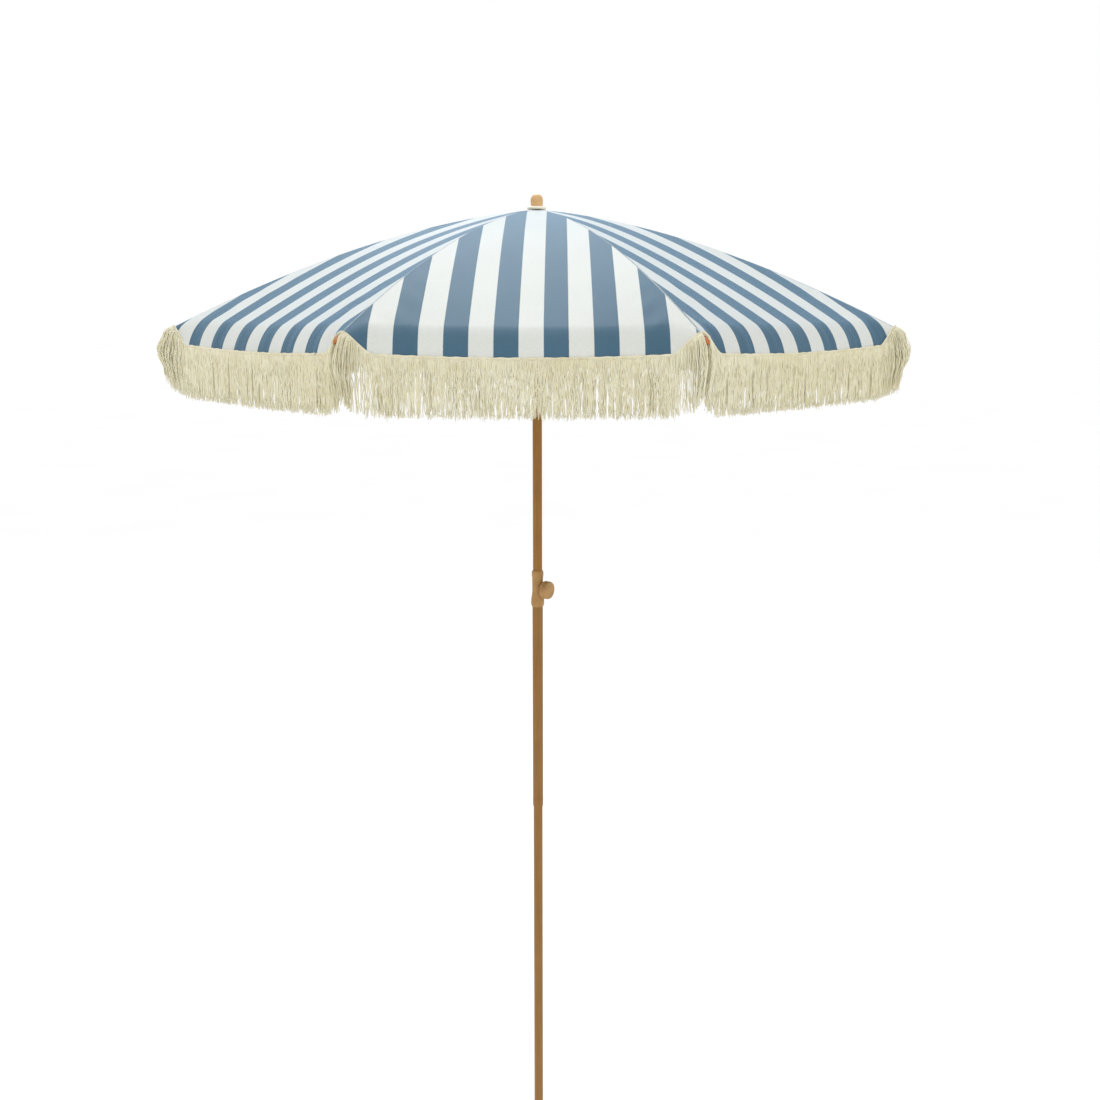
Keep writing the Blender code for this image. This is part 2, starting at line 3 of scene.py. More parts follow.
import bpy
import numpy as np
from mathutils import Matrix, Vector


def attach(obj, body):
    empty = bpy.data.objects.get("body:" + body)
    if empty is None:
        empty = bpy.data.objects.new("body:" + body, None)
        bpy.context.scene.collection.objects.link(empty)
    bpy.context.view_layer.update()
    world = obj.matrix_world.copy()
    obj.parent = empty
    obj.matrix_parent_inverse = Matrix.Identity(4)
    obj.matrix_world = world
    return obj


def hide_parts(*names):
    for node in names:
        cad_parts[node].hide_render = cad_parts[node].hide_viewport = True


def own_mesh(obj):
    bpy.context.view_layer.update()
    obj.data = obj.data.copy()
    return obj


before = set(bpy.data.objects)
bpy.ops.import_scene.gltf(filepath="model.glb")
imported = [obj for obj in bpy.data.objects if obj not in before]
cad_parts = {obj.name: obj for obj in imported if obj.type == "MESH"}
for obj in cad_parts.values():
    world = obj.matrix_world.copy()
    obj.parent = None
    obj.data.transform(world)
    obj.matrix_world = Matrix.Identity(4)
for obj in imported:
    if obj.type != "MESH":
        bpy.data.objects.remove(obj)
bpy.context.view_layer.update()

# Canopy, in metres, as in the CAD: eight ribs, each half a panel from its panels' middles
RIM_RADIUS = 0.900
RIM_HEIGHT = 2.400
APEX_RISE = 0.2844
FALL_TERMS = (0.330, 0.775, -0.105)
HOLE_RADIUS = 0.010
HALF_PANEL = math.radians(22.5)
WHOLE_PANEL = math.radians(45.0)
HALF_HEM = RIM_RADIUS * math.sin(HALF_PANEL)
SAG = (0.0145, -0.0035)

# Turned-down edge at a panel's middle: where it leaves the roof, how far out and down its hem
# lies, how far the curve's two control points are from its ends, and about how long it is
ROOF_END = 0.857
ROOF_SLOPE = math.radians(28.2)
FOLD_OUT = 0.0422
FOLD_DOWN = 0.0620
FOLD_LEAD = 0.0135
FOLD_HANG = (0.0085, 0.0350)
FOLD_DEPTH = 0.076
# Within CORNER_WIDTH of a rib the edge runs on over the rib's end instead, a little past the rim.
CORNER_WIDTH = 0.047
CORNER_REACH = 0.003

# Cloth thickness, the grid's rows and columns, and the share of its width a folded gore keeps
CLOTH = 0.0005
ROOF_ROWS = 52
RIM_ROWS = 16
CORNER_COLUMNS = 17
CORNER_COLUMNS_END = 0.066
HEM_COLUMNS = 45

# Small height changes in the cloth: in the turned-down edge, over the whole panel, and beside
# the ribs
PUCKER = 0.0009
PUCKER_RATES = (175.0, 53.0)
WAVE = 0.0014
WAVE_RATES = (9.0, 13.0)
PULL = 0.0014
PULL_PLACE = 0.055
PULL_SPREAD = 0.035
PULL_RATE = 88.0
FLAT_BY_RIB = 0.045

# Weave, seam and stitches
THREAD = 0.0011
STITCH = 0.0030
STITCH_LINE = 0.0032
SEAM_HALF = 0.0035
STRIPE_WANDER = 0.0006

# Braid: half its height and its thickness
BRAID_HALF = 0.0038
BRAID_THICK = 0.0010
BRAID_CORNER = 0.070

# Fringe yarns. A group is a layer, a count, and where along the hem it starts and ends.
YARN_GROUPS = (
    (0, 200, 0.0030, HALF_HEM),
    (1, 200, 0.0030, HALF_HEM),
    (1, 34, 0.0032, 0.0170),
)
YARN_POINTS = 12
YARN_SIDES = 4
YARN_TURN = 2.0
YARN_LENGTH = 0.1135
YARN_RADIUS = (0.00088, 0.00124)
SECTION_OVERLAP = 0.003
LOCKS = 90
LOCK_WIDTH = (0.005, 0.014)
# At a rib's end the yarns part for its cap and stand out in a bundle.
CAP_ROOM = 0.0060
BUNDLE_WIDTH = 0.019
BULGE = 0.040
RNG = np.random.default_rng(7)

# Stripes: one blue and one white make a repeat. Each panel has its own offset and slant,
# from the front panel on, anticlockwise as seen from above.
REPEAT = 0.0972
SLANT_FROM = 0.80
PANEL_SHIFT = (-0.0323, 0.0047, -0.0260, -0.0210, 0.0190, -0.0180, -0.0240, 0.0338)
PANEL_SLANT = (0.0176, -0.0394, 0.010, -0.016, 0.012, 0.024, -0.010, 0.0349)


# ---------------------------------------------------------------- materials
def shader_material(name):
    made = bpy.data.materials.new(name)
    made.use_nodes = True
    tree = made.node_tree
    return made, tree, tree.nodes["Principled BSDF"]


def node(tree, kind, **values):
    made = tree.nodes.new(kind)
    for key, value in values.items():
        if key in made.inputs:
            made.inputs[key].default_value = value
        else:
            setattr(made, key, value)
    return made


def math_node(tree, operation, first, second=None):
    made = tree.nodes.new("ShaderNodeMath")
    made.operation = operation
    for index, value in enumerate((first, second)):
        if value is None:
            continue
        if isinstance(value, (int, float)):
            made.inputs[index].default_value = value
        else:
            tree.links.new(value, made.inputs[index])
    return made.outputs[0]


def mix_colour(tree, share, first, second, blend="MIX"):
    made = tree.nodes.new("ShaderNodeMix")
    made.data_type = "RGBA"
    made.blend_type = blend
    for index, value in ((0, share), (6, first), (7, second)):
        socket = made.inputs[index]
        if isinstance(value, (int, float)):
            socket.default_value = value
        elif isinstance(value, tuple):
            socket.default_value = (*value, 1.0)
        else:
            tree.links.new(value, socket)
    return made.outputs[2]


def noise(tree, vector, scale, detail=2.0, roughness=0.5):
    made = node(tree, "ShaderNodeTexNoise", Scale=scale, Detail=detail, Roughness=roughness)
    tree.links.new(vector, made.inputs["Vector"])
    return made.outputs[0]


def ramp(tree, value, low, high, to_low=0.0, to_high=1.0):
    made = tree.nodes.new("ShaderNodeMapRange")
    made.clamp = True
    tree.links.new(value, made.inputs[0])
    for index, number in enumerate((low, high, to_low, to_high)):
        made.inputs[index + 1].default_value = number
    return made.outputs[0]


def bump(tree, shader, height, strength, distance):
    made = tree.nodes.new("ShaderNodeBump")
    made.inputs["Strength"].default_value = strength
    made.inputs["Distance"].default_value = distance
    tree.links.new(height, made.inputs["Height"])
    tree.links.new(made.outputs[0], shader.inputs["Normal"])


def uv_parts(tree, layer):
    source = node(tree, "ShaderNodeUVMap", uv_map=layer)
    split = tree.nodes.new("ShaderNodeSeparateXYZ")
    tree.links.new(source.outputs[0], split.inputs[0])
    return split.outputs[0], split.outputs[1]


def shaded(tree, colour, grey):
    """The colour, times a grey that a node gives."""
    made = tree.nodes.new("ShaderNodeCombineColor")
    for index in range(3):
        tree.links.new(grey, made.inputs[index])
    return mix_colour(tree, 1.0, colour, made.outputs[0], "MULTIPLY")


def total(tree, first, first_share, second, second_share):
    """Two values added, each with its own share."""
    left = math_node(tree, "MULTIPLY", first, first_share)
    right = math_node(tree, "MULTIPLY", second, second_share)
    return math_node(tree, "ADD", left, right)


BLUE = ((0.070, 0.139, 0.200), (0.078, 0.152, 0.218))
WHITE = ((0.720, 0.727, 0.676), (0.764, 0.771, 0.720))


def canopy_material():
    """Woven, yarn-dyed cloth. One map holds the distance across the stripes and the way down
    the panel, the other the distance from the rib's seam."""
    made, tree, shader = shader_material("canopy_cloth")
    across, along = uv_parts(tree, "stripe")
    seam, _ = uv_parts(tree, "seam")
    object_place = tree.nodes.new("ShaderNodeTexCoord").outputs["Object"]
    edge = math_node(tree, "MULTIPLY", noise(tree, object_place, 260.0, 1.0), STRIPE_WANDER)
    position = math_node(tree, "DIVIDE", math_node(tree, "ADD", across, edge), REPEAT)
    wave = math_node(tree, "COSINE", math_node(tree, "MULTIPLY", position, 2.0 * math.pi))
    blue_share = ramp(tree, wave, -0.035, 0.035)
    cloud = noise(tree, object_place, 3.2, 3.0)
    fine = noise(tree, object_place, 420.0, 2.0, 0.7)
    blue = mix_colour(tree, ramp(tree, cloud, 0.35, 0.65), *BLUE)
    white = mix_colour(tree, ramp(tree, cloud, 0.3, 0.7), *WHITE)
    colour = mix_colour(tree, blue_share, white, blue)
    colour = shaded(tree, colour, ramp(tree, fine, 0.3, 0.7, 0.93, 1.05))
    away = math_node(tree, "ABSOLUTE", seam)
    # Painted shade: within about 2 mm of the rib's seam the colour is darkened to 0.8, standing in for
    # the shadow in the seam's crease.
    colour = shaded(tree, colour, ramp(tree, away, 0.0004, 0.0022, 0.80, 1.0))
    tree.links.new(colour, shader.inputs["Base Color"])
    shader.inputs["Roughness"].default_value = 0.50
    shader.inputs["Specular IOR Level"].default_value = 0.26
    shader.inputs["Specular Tint"].default_value = (0.42, 0.78, 1.0, 1.0)
    shader.inputs["Sheen Weight"].default_value = 0.56
    shader.inputs["Sheen Roughness"].default_value = 0.30
    shader.inputs["Sheen Tint"].default_value = (0.33, 0.64, 1.0, 1.0)
    warp = math_node(tree, "SINE", math_node(tree, "MULTIPLY", across, 2.0 * math.pi / THREAD))
    weft = math_node(tree, "SINE", math_node(tree, "MULTIPLY", along, 2.0 * math.pi / THREAD))
    weave = math_node(tree, "MULTIPLY", warp, weft)
    slub = ramp(tree, noise(tree, object_place, 90.0, 2.0), 0.3, 0.7, -0.6, 0.6)
    felled = ramp(tree, away, SEAM_HALF, 0.0050, 2.2, 0.0)
    from_row = math_node(tree, "ABSOLUTE", math_node(tree, "SUBTRACT", away, STITCH_LINE))
    stitch_row = ramp(tree, from_row, 0.0, 0.0006, 1.0, 0.0)
    beat = math_node(tree, "SINE", math_node(tree, "MULTIPLY", along, 2.0 * math.pi / STITCH))
    dash = ramp(tree, beat, -0.2, 0.2)
    stitches = math_node(tree, "MULTIPLY", stitch_row, math_node(tree, "MULTIPLY", dash, -3.0))
    cloth = math_node(tree, "ADD", weave, slub)
    height = math_node(tree, "ADD", cloth, math_node(tree, "ADD", felled, stitches))
    bump(tree, shader, height, 0.35, 0.00025)
    return made


def cotton_material(name, low, high, around_rate):
    """Cotton yarn: uneven tone, fuzz, and the twist of its plies as bump."""
    made, tree, shader = shader_material(name)
    place = tree.nodes.new("ShaderNodeTexCoord").outputs["Object"]
    around, along = uv_parts(tree, "yarn")
    tone = noise(tree, place, 55.0, 2.0)
    patch = noise(tree, place, 5.0, 2.0)
    mixed = total(tree, tone, 0.55, patch, 0.45)
    colour = mix_colour(tree, ramp(tree, mixed, 0.34, 0.62), low, high)
    tree.links.new(colour, shader.inputs["Base Color"])
    shader.inputs["Roughness"].default_value = 0.9
    shader.inputs["Specular IOR Level"].default_value = 0.2
    shader.inputs["Sheen Weight"].default_value = 0.7
    shader.inputs["Sheen Roughness"].default_value = 0.6
    shader.inputs["Sheen Tint"].default_value = (1.0, 0.95, 0.80, 1.0)
    ply = math_node(tree, "SINE", total(tree, around, around_rate, along, 1100.0))
    fuzz = noise(tree, place, 1500.0, 2.0, 0.7)
    height = math_node(tree, "ADD", ply, math_node(tree, "MULTIPLY", fuzz, 0.8))
    bump(tree, shader, height, 0.18, 0.0002)
    return made


def pole_material(name, low, high, roughness, grain):
    """Painted tube with a faint printed wood grain along it and fine specks."""
    made, tree, shader = shader_material(name)
    place = tree.nodes.new("ShaderNodeTexCoord").outputs["Object"]
    stretch = tree.nodes.new("ShaderNodeMapping")
    stretch.inputs["Scale"].default_value = (grain, grain, 7.0)
    tree.links.new(place, stretch.inputs["Vector"])
    lines = noise(tree, stretch.outputs[0], 1.0, 5.0, 0.65)
    cloud = noise(tree, place, 14.0, 3.0, 0.6)
    speck = noise(tree, place, 620.0, 2.0, 0.7)
    share = total(tree, lines, 0.65, cloud, 0.35)
    colour = mix_colour(tree, ramp(tree, share, 0.36, 0.64), low, high)
    colour = shaded(tree, colour, ramp(tree, speck, 0.3, 0.7, 0.93, 1.06))
    tree.links.new(colour, shader.inputs["Base Color"])
    gloss = ramp(tree, cloud, 0.3, 0.7, roughness - 0.06, roughness + 0.08)
    tree.links.new(gloss, shader.inputs["Roughness"])
    shader.inputs["Specular IOR Level"].default_value = 0.2
    height = math_node(tree, "ADD", lines, math_node(tree, "MULTIPLY", speck, 0.35))
    bump(tree, shader, height, 0.18, 0.0004)
    return made


def moulded_material(name, low, high, roughness, texture=900.0, metallic=0.0):
    """Moulded or coated fitting: slight mottle, fine grain and uneven gloss."""
    made, tree, shader = shader_material(name)
    place = tree.nodes.new("ShaderNodeTexCoord").outputs["Object"]
    cloud = noise(tree, place, 45.0, 3.0, 0.6)
    grain = noise(tree, place, texture, 2.0, 0.6)
    colour = mix_colour(tree, ramp(tree, cloud, 0.32, 0.68), low, high)
    tree.links.new(colour, shader.inputs["Base Color"])
    gloss = ramp(tree, grain, 0.3, 0.7, roughness - 0.07, roughness + 0.09)
    tree.links.new(gloss, shader.inputs["Roughness"])
    shader.inputs["Metallic"].default_value = metallic
    shader.inputs["Specular IOR Level"].default_value = 0.4
    bump(tree, shader, grain, 0.15, 0.0002)
    return made


# ---------------------------------------------------------------- canopy shape
def fall(share):
    """How far a rib has dropped at this share of the rim's radius: 0 at the apex, 1 at the rim."""
    first, second, third = FALL_TERMS
    return first * share + second * share**2 + third * share**3


def ridge_height(radius):
    return RIM_HEIGHT + APEX_RISE * (1.0 - fall(radius / RIM_RADIUS))


def corner_share(width):
    """0 at a rib, 1 from CORNER_WIDTH on, with a smooth step between."""
    share = np.clip(width / CORNER_WIDTH, 0.0, 1.0)
    return share**3 * (10.0 - 15.0 * share + 6.0 * share**2)


def cloth_points(radius, width, side):
    """Points of the cloth in a rib's own frame, X along the rib; arrays may broadcast."""
    share = width / HALF_HEM
    out = radius / RIM_RADIUS
    first, second, third = FALL_TERMS
    slope = np.arctan(APEX_RISE / RIM_RADIUS * (first + 2.0 * second * out + 3.0 * third * out**2))
    sag = (SAG[0] * out + SAG[1] * out**2) * (2.0 * share - share**2)
    inward = sag * np.sin(slope)
    x = radius * (1.0 - share * math.sin(HALF_PANEL) ** 2) - inward * math.cos(HALF_PANEL)
    y = radius * share * math.sin(HALF_PANEL) * math.cos(HALF_PANEL) - inward * math.sin(HALF_PANEL)
    z = ridge_height(radius) - sag * np.cos(slope)
    return np.stack(np.broadcast_arrays(x, side * y, z), -1)


def fold_curve(share, first, second, end):
    """One coordinate of the turned-down edge: on along the roof at first, then down to the end."""
    rest = 1.0 - share
    return 3.0 * rest**2 * share * first + 3.0 * rest * share**2 * second + share**3 * end


def rim_points(width, side, share):
    """Points of the turned-down edge: share 0 where the roof ends, 1 at the hem."""
    inside = np.clip(share, 0.0, 1.0)
    corner = 1.0 - corner_share(width)
    lead_out = FOLD_LEAD * math.cos(ROOF_SLOPE)
    lead_down = FOLD_LEAD * math.sin(ROOF_SLOPE)
    roll_out = fold_curve(inside, lead_out, FOLD_OUT - FOLD_HANG[0], FOLD_OUT)
    roll_down = fold_curve(inside, lead_down, FOLD_DOWN - FOLD_HANG[1], FOLD_DOWN)
    reach = RIM_RADIUS - ROOF_END
    along = (reach + CORNER_REACH) * inside
    dip = (ridge_height(ROOF_END) - ridge_height(RIM_RADIUS)) * np.minimum(along / reach, 1.0)
    outward = along * corner + roll_out * (1.0 - corner)
    down = dip * corner + roll_down * (1.0 - corner)
    angle = side * HALF_PANEL * corner_share(width)
    edge = cloth_points(np.full_like(width, ROOF_END), width, side)
    x = edge[..., 0] + outward * np.cos(angle)
    y = edge[..., 1] + outward * np.sin(angle)
    z = edge[..., 2] - down
    return np.stack(np.broadcast_arrays(x, y, z), -1)


def hem_facing(width, side):
    """Outward directions at the hem, turning from the rib's own to the panel's."""
    angle = side * HALF_PANEL * corner_share(width)
    return np.stack([np.cos(angle), np.sin(angle), np.zeros_like(angle)], -1)


def rib_azimuth(index):
    return HALF_PANEL - math.pi / 2.0 + index * WHOLE_PANEL


def turned(points, angle):
    """The points turned about the pole."""
    cosine = math.cos(angle)
    sine = math.sin(angle)
    out = np.array(points, float)
    out[..., 0] = points[..., 0] * cosine - points[..., 1] * sine
    out[..., 1] = points[..., 0] * sine + points[..., 1] * cosine
    return out


def mesh_object(name, vertices, faces, material, smooth=True):
    mesh = bpy.data.meshes.new(name)
    face_list = faces.tolist() if isinstance(faces, np.ndarray) else faces
    mesh.from_pydata(np.asarray(vertices, float).tolist(), [], face_list)
    mesh.validate()
    obj = bpy.data.objects.new(name, mesh)
    bpy.context.scene.collection.objects.link(obj)
    mesh.materials.append(material)
    if smooth:
        mesh.polygons.foreach_set("use_smooth", [True] * len(mesh.polygons))
    mesh.update()
    return obj


def add_uv(obj, layer, values):
    """Per-vertex pairs, spread to the face corners."""
    uv = obj.data.uv_layers.new(name=layer)
    loops = np.zeros(len(obj.data.loops), np.int32)
    obj.data.loops.foreach_get("vertex_index", loops)
    uv.data.foreach_set("uv", np.asarray(values, np.float32)[loops].ravel())


def grid_faces(rows, columns):
    row, column = np.meshgrid(np.arange(rows - 1), np.arange(columns - 1), indexing="ij")
    corner = (row * columns + column).ravel()
    return np.stack([corner, corner + columns, corner + columns + 1, corner + 1], -1)


def wrinkle(radial, tangent, down, panel, ribward):
    """Small height changes in the cloth. They match at a panel's middle and end at the ribs."""
    seed = panel * 1.7
    lean = np.where(tangent < 0, 0.91, 1.07)
    even = np.sqrt(tangent**2 + 0.03**2) - 0.03
    quick, slow = PUCKER_RATES
    pucker = PUCKER * np.sin(even * lean * quick + seed) * np.sin(even * lean * slow + 2.0 * seed)
    out_rate, side_rate = WAVE_RATES
    soft = WAVE * np.sin(radial * out_rate + seed) * np.cos(even * side_rate + 0.6 * seed)
    pull = PULL * np.exp(-(((ribward - PULL_PLACE) / PULL_SPREAD) ** 2))
    pull = pull * np.clip((radial - 0.50) / 0.35, 0.0, 1.0)
    pull = pull * np.sin((radial * 0.8 + even * lean) * PULL_RATE + seed)
    inner = np.clip((radial - 0.05) / 0.2, 0.0, 1.0)
    near = np.clip(ribward / FLAT_BY_RIB, 0.0, 1.0)
    near = near * near * (3.0 - 2.0 * near)
    return near * (inner * (soft + pull) + pucker * np.clip(down / 0.05, 0.0, 1.0))


def column_widths():
    """Distances from the rib along the hem, closer together by the corner."""
    near = np.linspace(0.0, CORNER_COLUMNS_END, CORNER_COLUMNS)
    share = np.linspace(0.0, 1.0, HEM_COLUMNS)[1:]
    far = CORNER_COLUMNS_END + (HALF_HEM - CORNER_COLUMNS_END) * share
    return np.concatenate([near, far])


def gore_grid():
    """A gore in its rib's frame: signed widths, points, and each row's way past the roof's end."""
    widths = column_widths()
    signed = np.concatenate([-widths[::-1], widths[1:]])
    side = np.where(signed < 0, -1.0, 1.0)
    width = np.abs(signed)
    radii = HOLE_RADIUS + (ROOF_END - HOLE_RADIUS) * np.linspace(0.0, 1.0, ROOF_ROWS)
    roof = cloth_points(radii[:, None], width[None, :], side[None, :])
    rows = [roof]
    for share in np.linspace(0.0, 1.0, RIM_ROWS + 1)[1:]:
        rows.append(rim_points(width, side, share)[None])
    grid = np.concatenate(rows, 0)
    depth = np.concatenate([radii - ROOF_END, np.linspace(0.0, FOLD_DEPTH, RIM_ROWS + 1)[1:]])
    return signed, grid, depth


def grid_normals(grid):
    """Outward directions. At the two outer columns they lie in the panel's middle plane."""
    down = np.gradient(grid, axis=0)
    across = np.gradient(grid, axis=1)
    for column, turn in ((0, -HALF_PANEL), (-1, HALF_PANEL)):
        across[:, column] = (-math.sin(turn), math.cos(turn), 0.0)
    normal = np.cross(down, across)
    return normal / np.linalg.norm(normal, axis=-1, keepdims=True)


def sharpen_border(obj):
    """Mark a sheet's open edges sharp, so that its thin edge doesn't bend the faces' shading."""
    mesh = obj.data
    loops = np.zeros(len(mesh.loops), np.int32)
    mesh.loops.foreach_get("edge_index", loops)
    border = np.bincount(loops, minlength=len(mesh.edges)) == 1
    sharp = mesh.attributes.get("sharp_edge") or mesh.attributes.new("sharp_edge", "BOOLEAN", "EDGE")
    sharp.data.foreach_set("value", border)


def build_gore(index, material):
    signed, grid, depth = gore_grid()
    normals = grid_normals(grid)
    angle = rib_azimuth(index)
    rows, columns = grid.shape[:2]
    # each half of the gore belongs to another panel, and is laid out from that panel's middle
    stripe = np.zeros((rows, columns, 2))
    seam = np.zeros((rows, columns, 2))
    height = np.zeros((rows, columns))
    for side, panel in ((-1.0, (index - 1) % 8), (1.0, index)):
        pick = signed < 0 if side < 0 else signed >= 0
        local = turned(grid[:, pick], -side * HALF_PANEL)
        tangent = local[..., 1]
        radial = local[..., 0]
        ribward = np.broadcast_to(np.abs(grid[:, pick, 1]), tangent.shape)
        along = radial + np.maximum(depth, 0.0)[:, None] * 0.6
        number = (panel + 1) % 8
        slant = PANEL_SLANT[number] * (along / math.cos(HALF_PANEL) - SLANT_FROM)
        offset = PANEL_SHIFT[number] + slant
        # a blue stripe's middle is where the shifted distance is a whole number of repeats
        stripe[:, pick, 0] = tangent - offset
        stripe[:, pick, 1] = along
        over = np.broadcast_to(np.maximum(depth, 0.0)[:, None], tangent.shape)
        height[:, pick] = wrinkle(radial, tangent, over, panel, ribward)
    seam[..., 0] = grid[..., 1]
    seam[..., 1] = np.linalg.norm(grid[:, :, :2], axis=-1)
    shaped = grid + normals * height[..., None]
    points = turned(shaped, angle).reshape(-1, 3)
    obj = mesh_object(f"canopy_cloth_{index + 1}", points, grid_faces(rows, columns), material)
    add_uv(obj, "stripe", stripe.reshape(-1, 2))
    add_uv(obj, "seam", seam.reshape(-1, 2))
    sharpen_border(obj)
    thick = obj.modifiers.new("cloth", "SOLIDIFY")
    thick.thickness = CLOTH
    thick.offset = -1.0
    return obj


# ---------------------------------------------------------------- braid and fringe
def tube_mesh(paths, radii, sides, twist):
    """Closed tubes with few sides along many paths at once. paths is (strands, points, 3)."""
    strands, points = paths.shape[:2]
    forward = np.gradient(paths, axis=1)
    forward /= np.linalg.norm(forward, axis=-1, keepdims=True)
    guide = np.array([0.31, 0.95, 0.02])
    first = np.cross(forward, guide)
    first /= np.linalg.norm(first, axis=-1, keepdims=True)
    second = np.cross(forward, first)
    ring = np.arange(sides) * 2.0 * math.pi / sides
    spin = twist[:, None, None] + ring[None, None, :]
    turn = np.linspace(0.0, 1.0, points)[None, :, None] * YARN_TURN
    angle = spin + turn
    offset = first[:, :, None] * np.cos(angle)[..., None]
    offset = offset + second[:, :, None] * np.sin(angle)[..., None]
    vertices = paths[:, :, None] + offset * radii[:, :, None, None]
    base = np.arange(strands)[:, None, None] * points * sides
    row = base + np.arange(points - 1)[None, :, None] * sides
    column = np.arange(sides)[None, None, :]
    following = (column + 1) % sides
    corners = [row + column, row + following, row + sides + following, row + sides + column]
    faces = np.stack(corners, -1).reshape(-1, 4)
    strand_start = base[:, 0, 0][:, None]
    start = strand_start + np.arange(sides)[::-1][None, :]
    end = strand_start + (points - 1) * sides + np.arange(sides)[None, :]
    caps = np.concatenate([start, end], 0)
    around = np.broadcast_to(np.arange(sides) / sides, (strands, points, sides))
    pieces = np.linalg.norm(np.diff(paths, axis=1), axis=-1)
    length = np.concatenate([np.zeros((strands, 1)), np.cumsum(pieces, 1)], 1)
    along = np.broadcast_to(length[..., None], (strands, points, sides))
    uv = np.stack([around, along], -1)
    return vertices.reshape(-1, 3), faces, caps, uv.reshape(-1, 2)


def strand_paths(side, layer, count, start, end):
    """Hanging yarns of half a section, in the rib's frame, with their radii. hang goes from 0
    at the hem to 1 at a yarn's end."""
    width = start + (end - start) * (np.arange(count) + RNG.uniform(0.1, 0.9, count)) / count
    hang = np.linspace(0.0, 1.0, YARN_POINTS)[None, :] ** RNG.uniform(1.15, 1.75, (count, 1))
    free = np.clip(hang * 4.0, 0.0, 1.0)
    length = YARN_LENGTH + RNG.normal(0.0, 0.0026, count) - 0.018 * RNG.random(count) ** 7
    # neighbours gather into locks that swing together
    edges = np.concatenate([[0.0], np.cumsum(RNG.uniform(*LOCK_WIDTH, LOCKS))])
    lock = np.searchsorted(edges, width) - 1
    centre = (edges[:-1] + np.diff(edges) / 2.0)[lock]
    pull = RNG.uniform(0.05, 0.60, LOCKS + 1)[lock]
    lean = RNG.normal(0.0, 0.0020, LOCKS + 1)[lock]
    swing = RNG.normal(0.0, 0.0022, LOCKS + 1)[lock]
    gather = np.clip(hang * 1.4 - 0.22, 0.0, 1.0) ** 1.3
    slide = (centre - width)[:, None] * pull[:, None] * gather + lean[:, None] * hang
    phase = RNG.uniform(0.0, 2.0 * math.pi, (count, 4))
    wave = RNG.uniform(0.0005, 0.0017, (count, 2))
    rate = RNG.uniform(9.0, 27.0, (count, 2))
    curl = wave[:, :1] * np.sin(hang * rate[:, :1] + phase[:, :1])
    curl_out = wave[:, 1:] * np.sin(hang * rate[:, 1:] + phase[:, 1:2])
    # at the rib's end they pass on either side of the cap, out over it and down
    corner = np.exp(-((width / BUNDLE_WIDTH) ** 2))[:, None]
    out = 0.60 * (1.0 - np.exp(-hang / 0.055)) + 0.46 * np.exp(-(((hang - 0.50) / 0.24) ** 2))
    aside = np.maximum(CAP_ROOM - width, 0.0)[:, None] * np.clip(hang * 14.0, 0.0, 1.0)
    scatter = RNG.normal(0.0, 0.0026, count)[:, None]
    part = aside - 0.0032 * corner * hang + scatter * corner * hang
    bulge = BULGE * corner * out * RNG.uniform(0.15, 1.05, count)[:, None]
    drift = width[:, None] + (slide + curl) * free + part
    drift = np.minimum(drift, HALF_HEM + SECTION_OVERLAP)
    hem = rim_points(width, side, 1.0)
    # beside a rib's end the hem is higher, and the yarns are longer by part of that
    rise = hem[:, 2] - rim_points(np.array([HALF_HEM]), side, 1.0)[0, 2]
    length = length + 0.62 * rise * np.clip((width - 0.003) / 0.013, 0.0, 1.0)
    face = hem_facing(width, side)
    tangent = np.stack([-face[:, 1], face[:, 0], 0.0 * width], -1) * side
    stand_off = 0.0008 + 0.0012 * layer + RNG.uniform(0.0, 0.0006, count)[:, None]
    outward = stand_off + swing[:, None] * hang + curl_out * free + bulge
    drop = length[:, None] * (hang - 0.03 * corner * out * (1.0 - hang))
    paths = (
        hem[:, None, :]
        + tangent[:, None, :] * (drift - width[:, None])[..., None]
        + face[:, None, :] * outward[..., None]
    )
    paths[..., 2] -= drop
    stray = RNG.normal(0.0, 0.0022, (count, 2))
    tail = np.clip((hang - 0.75) / 0.25, 0.0, 1.0) ** 2
    paths[..., 0] += stray[:, :1] * tail
    paths[..., 1] += stray[:, 1:] * tail
    radius = RNG.uniform(*YARN_RADIUS, count)[:, None] * (1.0 - 0.10 * hang - 0.25 * tail)
    radius = radius * (1.0 + 0.10 * np.sin(hang * 40.0 + phase[:, 2:3]))
    return paths, radius


def build_fringe(index, side, material):
    """The yarns of half a fringe section, as one mesh."""
    parts = [strand_paths(side, *group) for group in YARN_GROUPS]
    paths = np.concatenate([path for path, _ in parts])
    radii = np.concatenate([radius for _, radius in parts])
    paths = turned(paths, rib_azimuth(index))
    twist = RNG.uniform(0, 6.28, len(paths))
    vertices, faces, caps, uv = tube_mesh(paths, radii, YARN_SIDES, twist)
    name = f"fringe_yarn_{index + 1}_{'left' if side < 0 else 'right'}"
    obj = mesh_object(name, vertices, faces.tolist() + caps.tolist(), material)
    add_uv(obj, "yarn", uv)
    return obj


